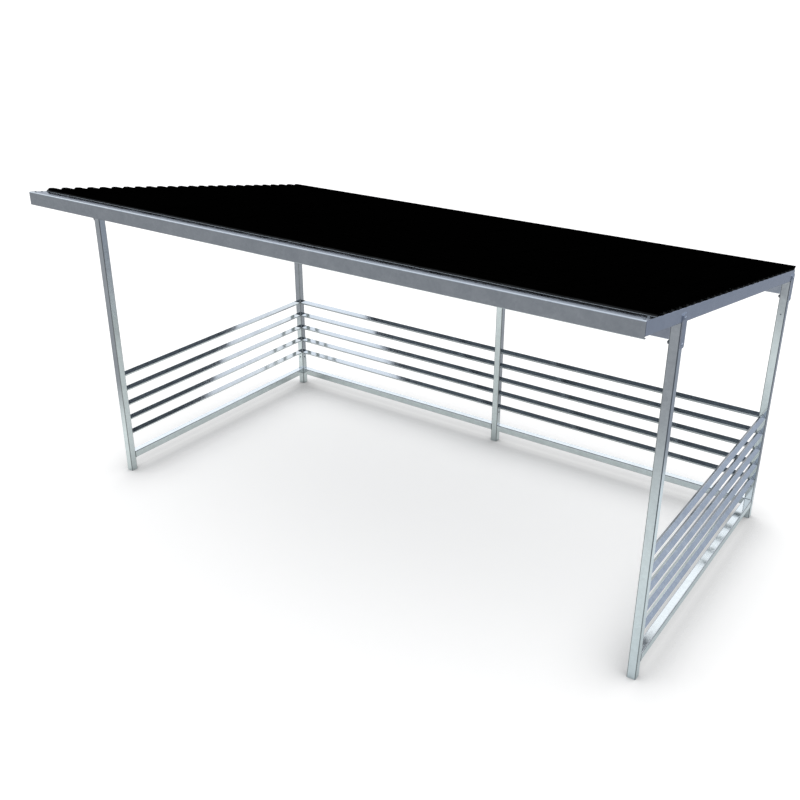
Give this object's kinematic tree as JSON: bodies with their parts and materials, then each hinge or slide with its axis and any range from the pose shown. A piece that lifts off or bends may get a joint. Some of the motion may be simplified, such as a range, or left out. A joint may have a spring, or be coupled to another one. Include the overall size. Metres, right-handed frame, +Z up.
{
  "type": "bike shelter",
  "caption": "Open bike shelter: a galvanised square-tube frame with slat railings at the sides and back and a lean-to roof of black profiled steel sheet that falls to the back.",
  "frame": {"origin": "on the floor under the middle of the roof", "axes": "+X along the shelter's length, to the right seen from the open front; +Y from the open front to the back railing; +Z up"},
  "size_m": [4.012, 2.5, 2.1569],
  "materials": {
    "galvanised_tube": "hot-dip galvanised, satin, faint spangle",
    "galvanised_channel": "hot-dip galvanised, satin",
    "galvanised_fascia": "galvanised sheet, satin",
    "roof_sheet": "matt black coil coating"
  },
  "bodies": {
    "root": {"front_left_post": "galvanised_tube", "front_right_post": "galvanised_tube", "back_left_post": "galvanised_tube", "back_middle_post": "galvanised_tube", "back_right_post": "galvanised_tube", "left_bottom_rail": "galvanised_tube", "right_bottom_rail": "galvanised_tube", "back_left_bottom_rail": "galvanised_tube", "back_right_bottom_rail": "galvanised_tube", "left_slat_1": "galvanised_tube", "left_slat_2": "galvanised_tube", "left_slat_3": "galvanised_tube", "left_slat_4": "galvanised_tube", "left_slat_5": "galvanised_tube", "right_slat_1": "galvanised_tube", "right_slat_2": "galvanised_tube", "right_slat_3": "galvanised_tube", "right_slat_4": "galvanised_tube", "right_slat_5": "galvanised_tube", "back_left_slat_1": "galvanised_tube", "back_left_slat_2": "galvanised_tube", "back_left_slat_3": "galvanised_tube", "back_left_slat_4": "galvanised_tube", "back_left_slat_5": "galvanised_tube", "back_right_slat_1": "galvanised_tube", "back_right_slat_2": "galvanised_tube", "back_right_slat_3": "galvanised_tube", "back_right_slat_4": "galvanised_tube", "back_right_slat_5": "galvanised_tube", "front_beam": "galvanised_channel", "back_beam": "galvanised_channel", "left_side_beam": "galvanised_channel", "right_side_beam": "galvanised_channel", "rafter_1": "galvanised_channel", "rafter_2": "galvanised_channel", "rafter_3": "galvanised_channel", "rafter_packers": "galvanised_channel", "front_left_strap": "galvanised_channel", "front_right_strap": "galvanised_channel", "back_left_strap": "galvanised_channel", "back_right_strap": "galvanised_channel", "fascia": "galvanised_fascia", "front_roof_sheet": "roof_sheet", "middle_roof_sheet": "roof_sheet", "back_roof_sheet": "roof_sheet"}
  },
  "joints": []
}
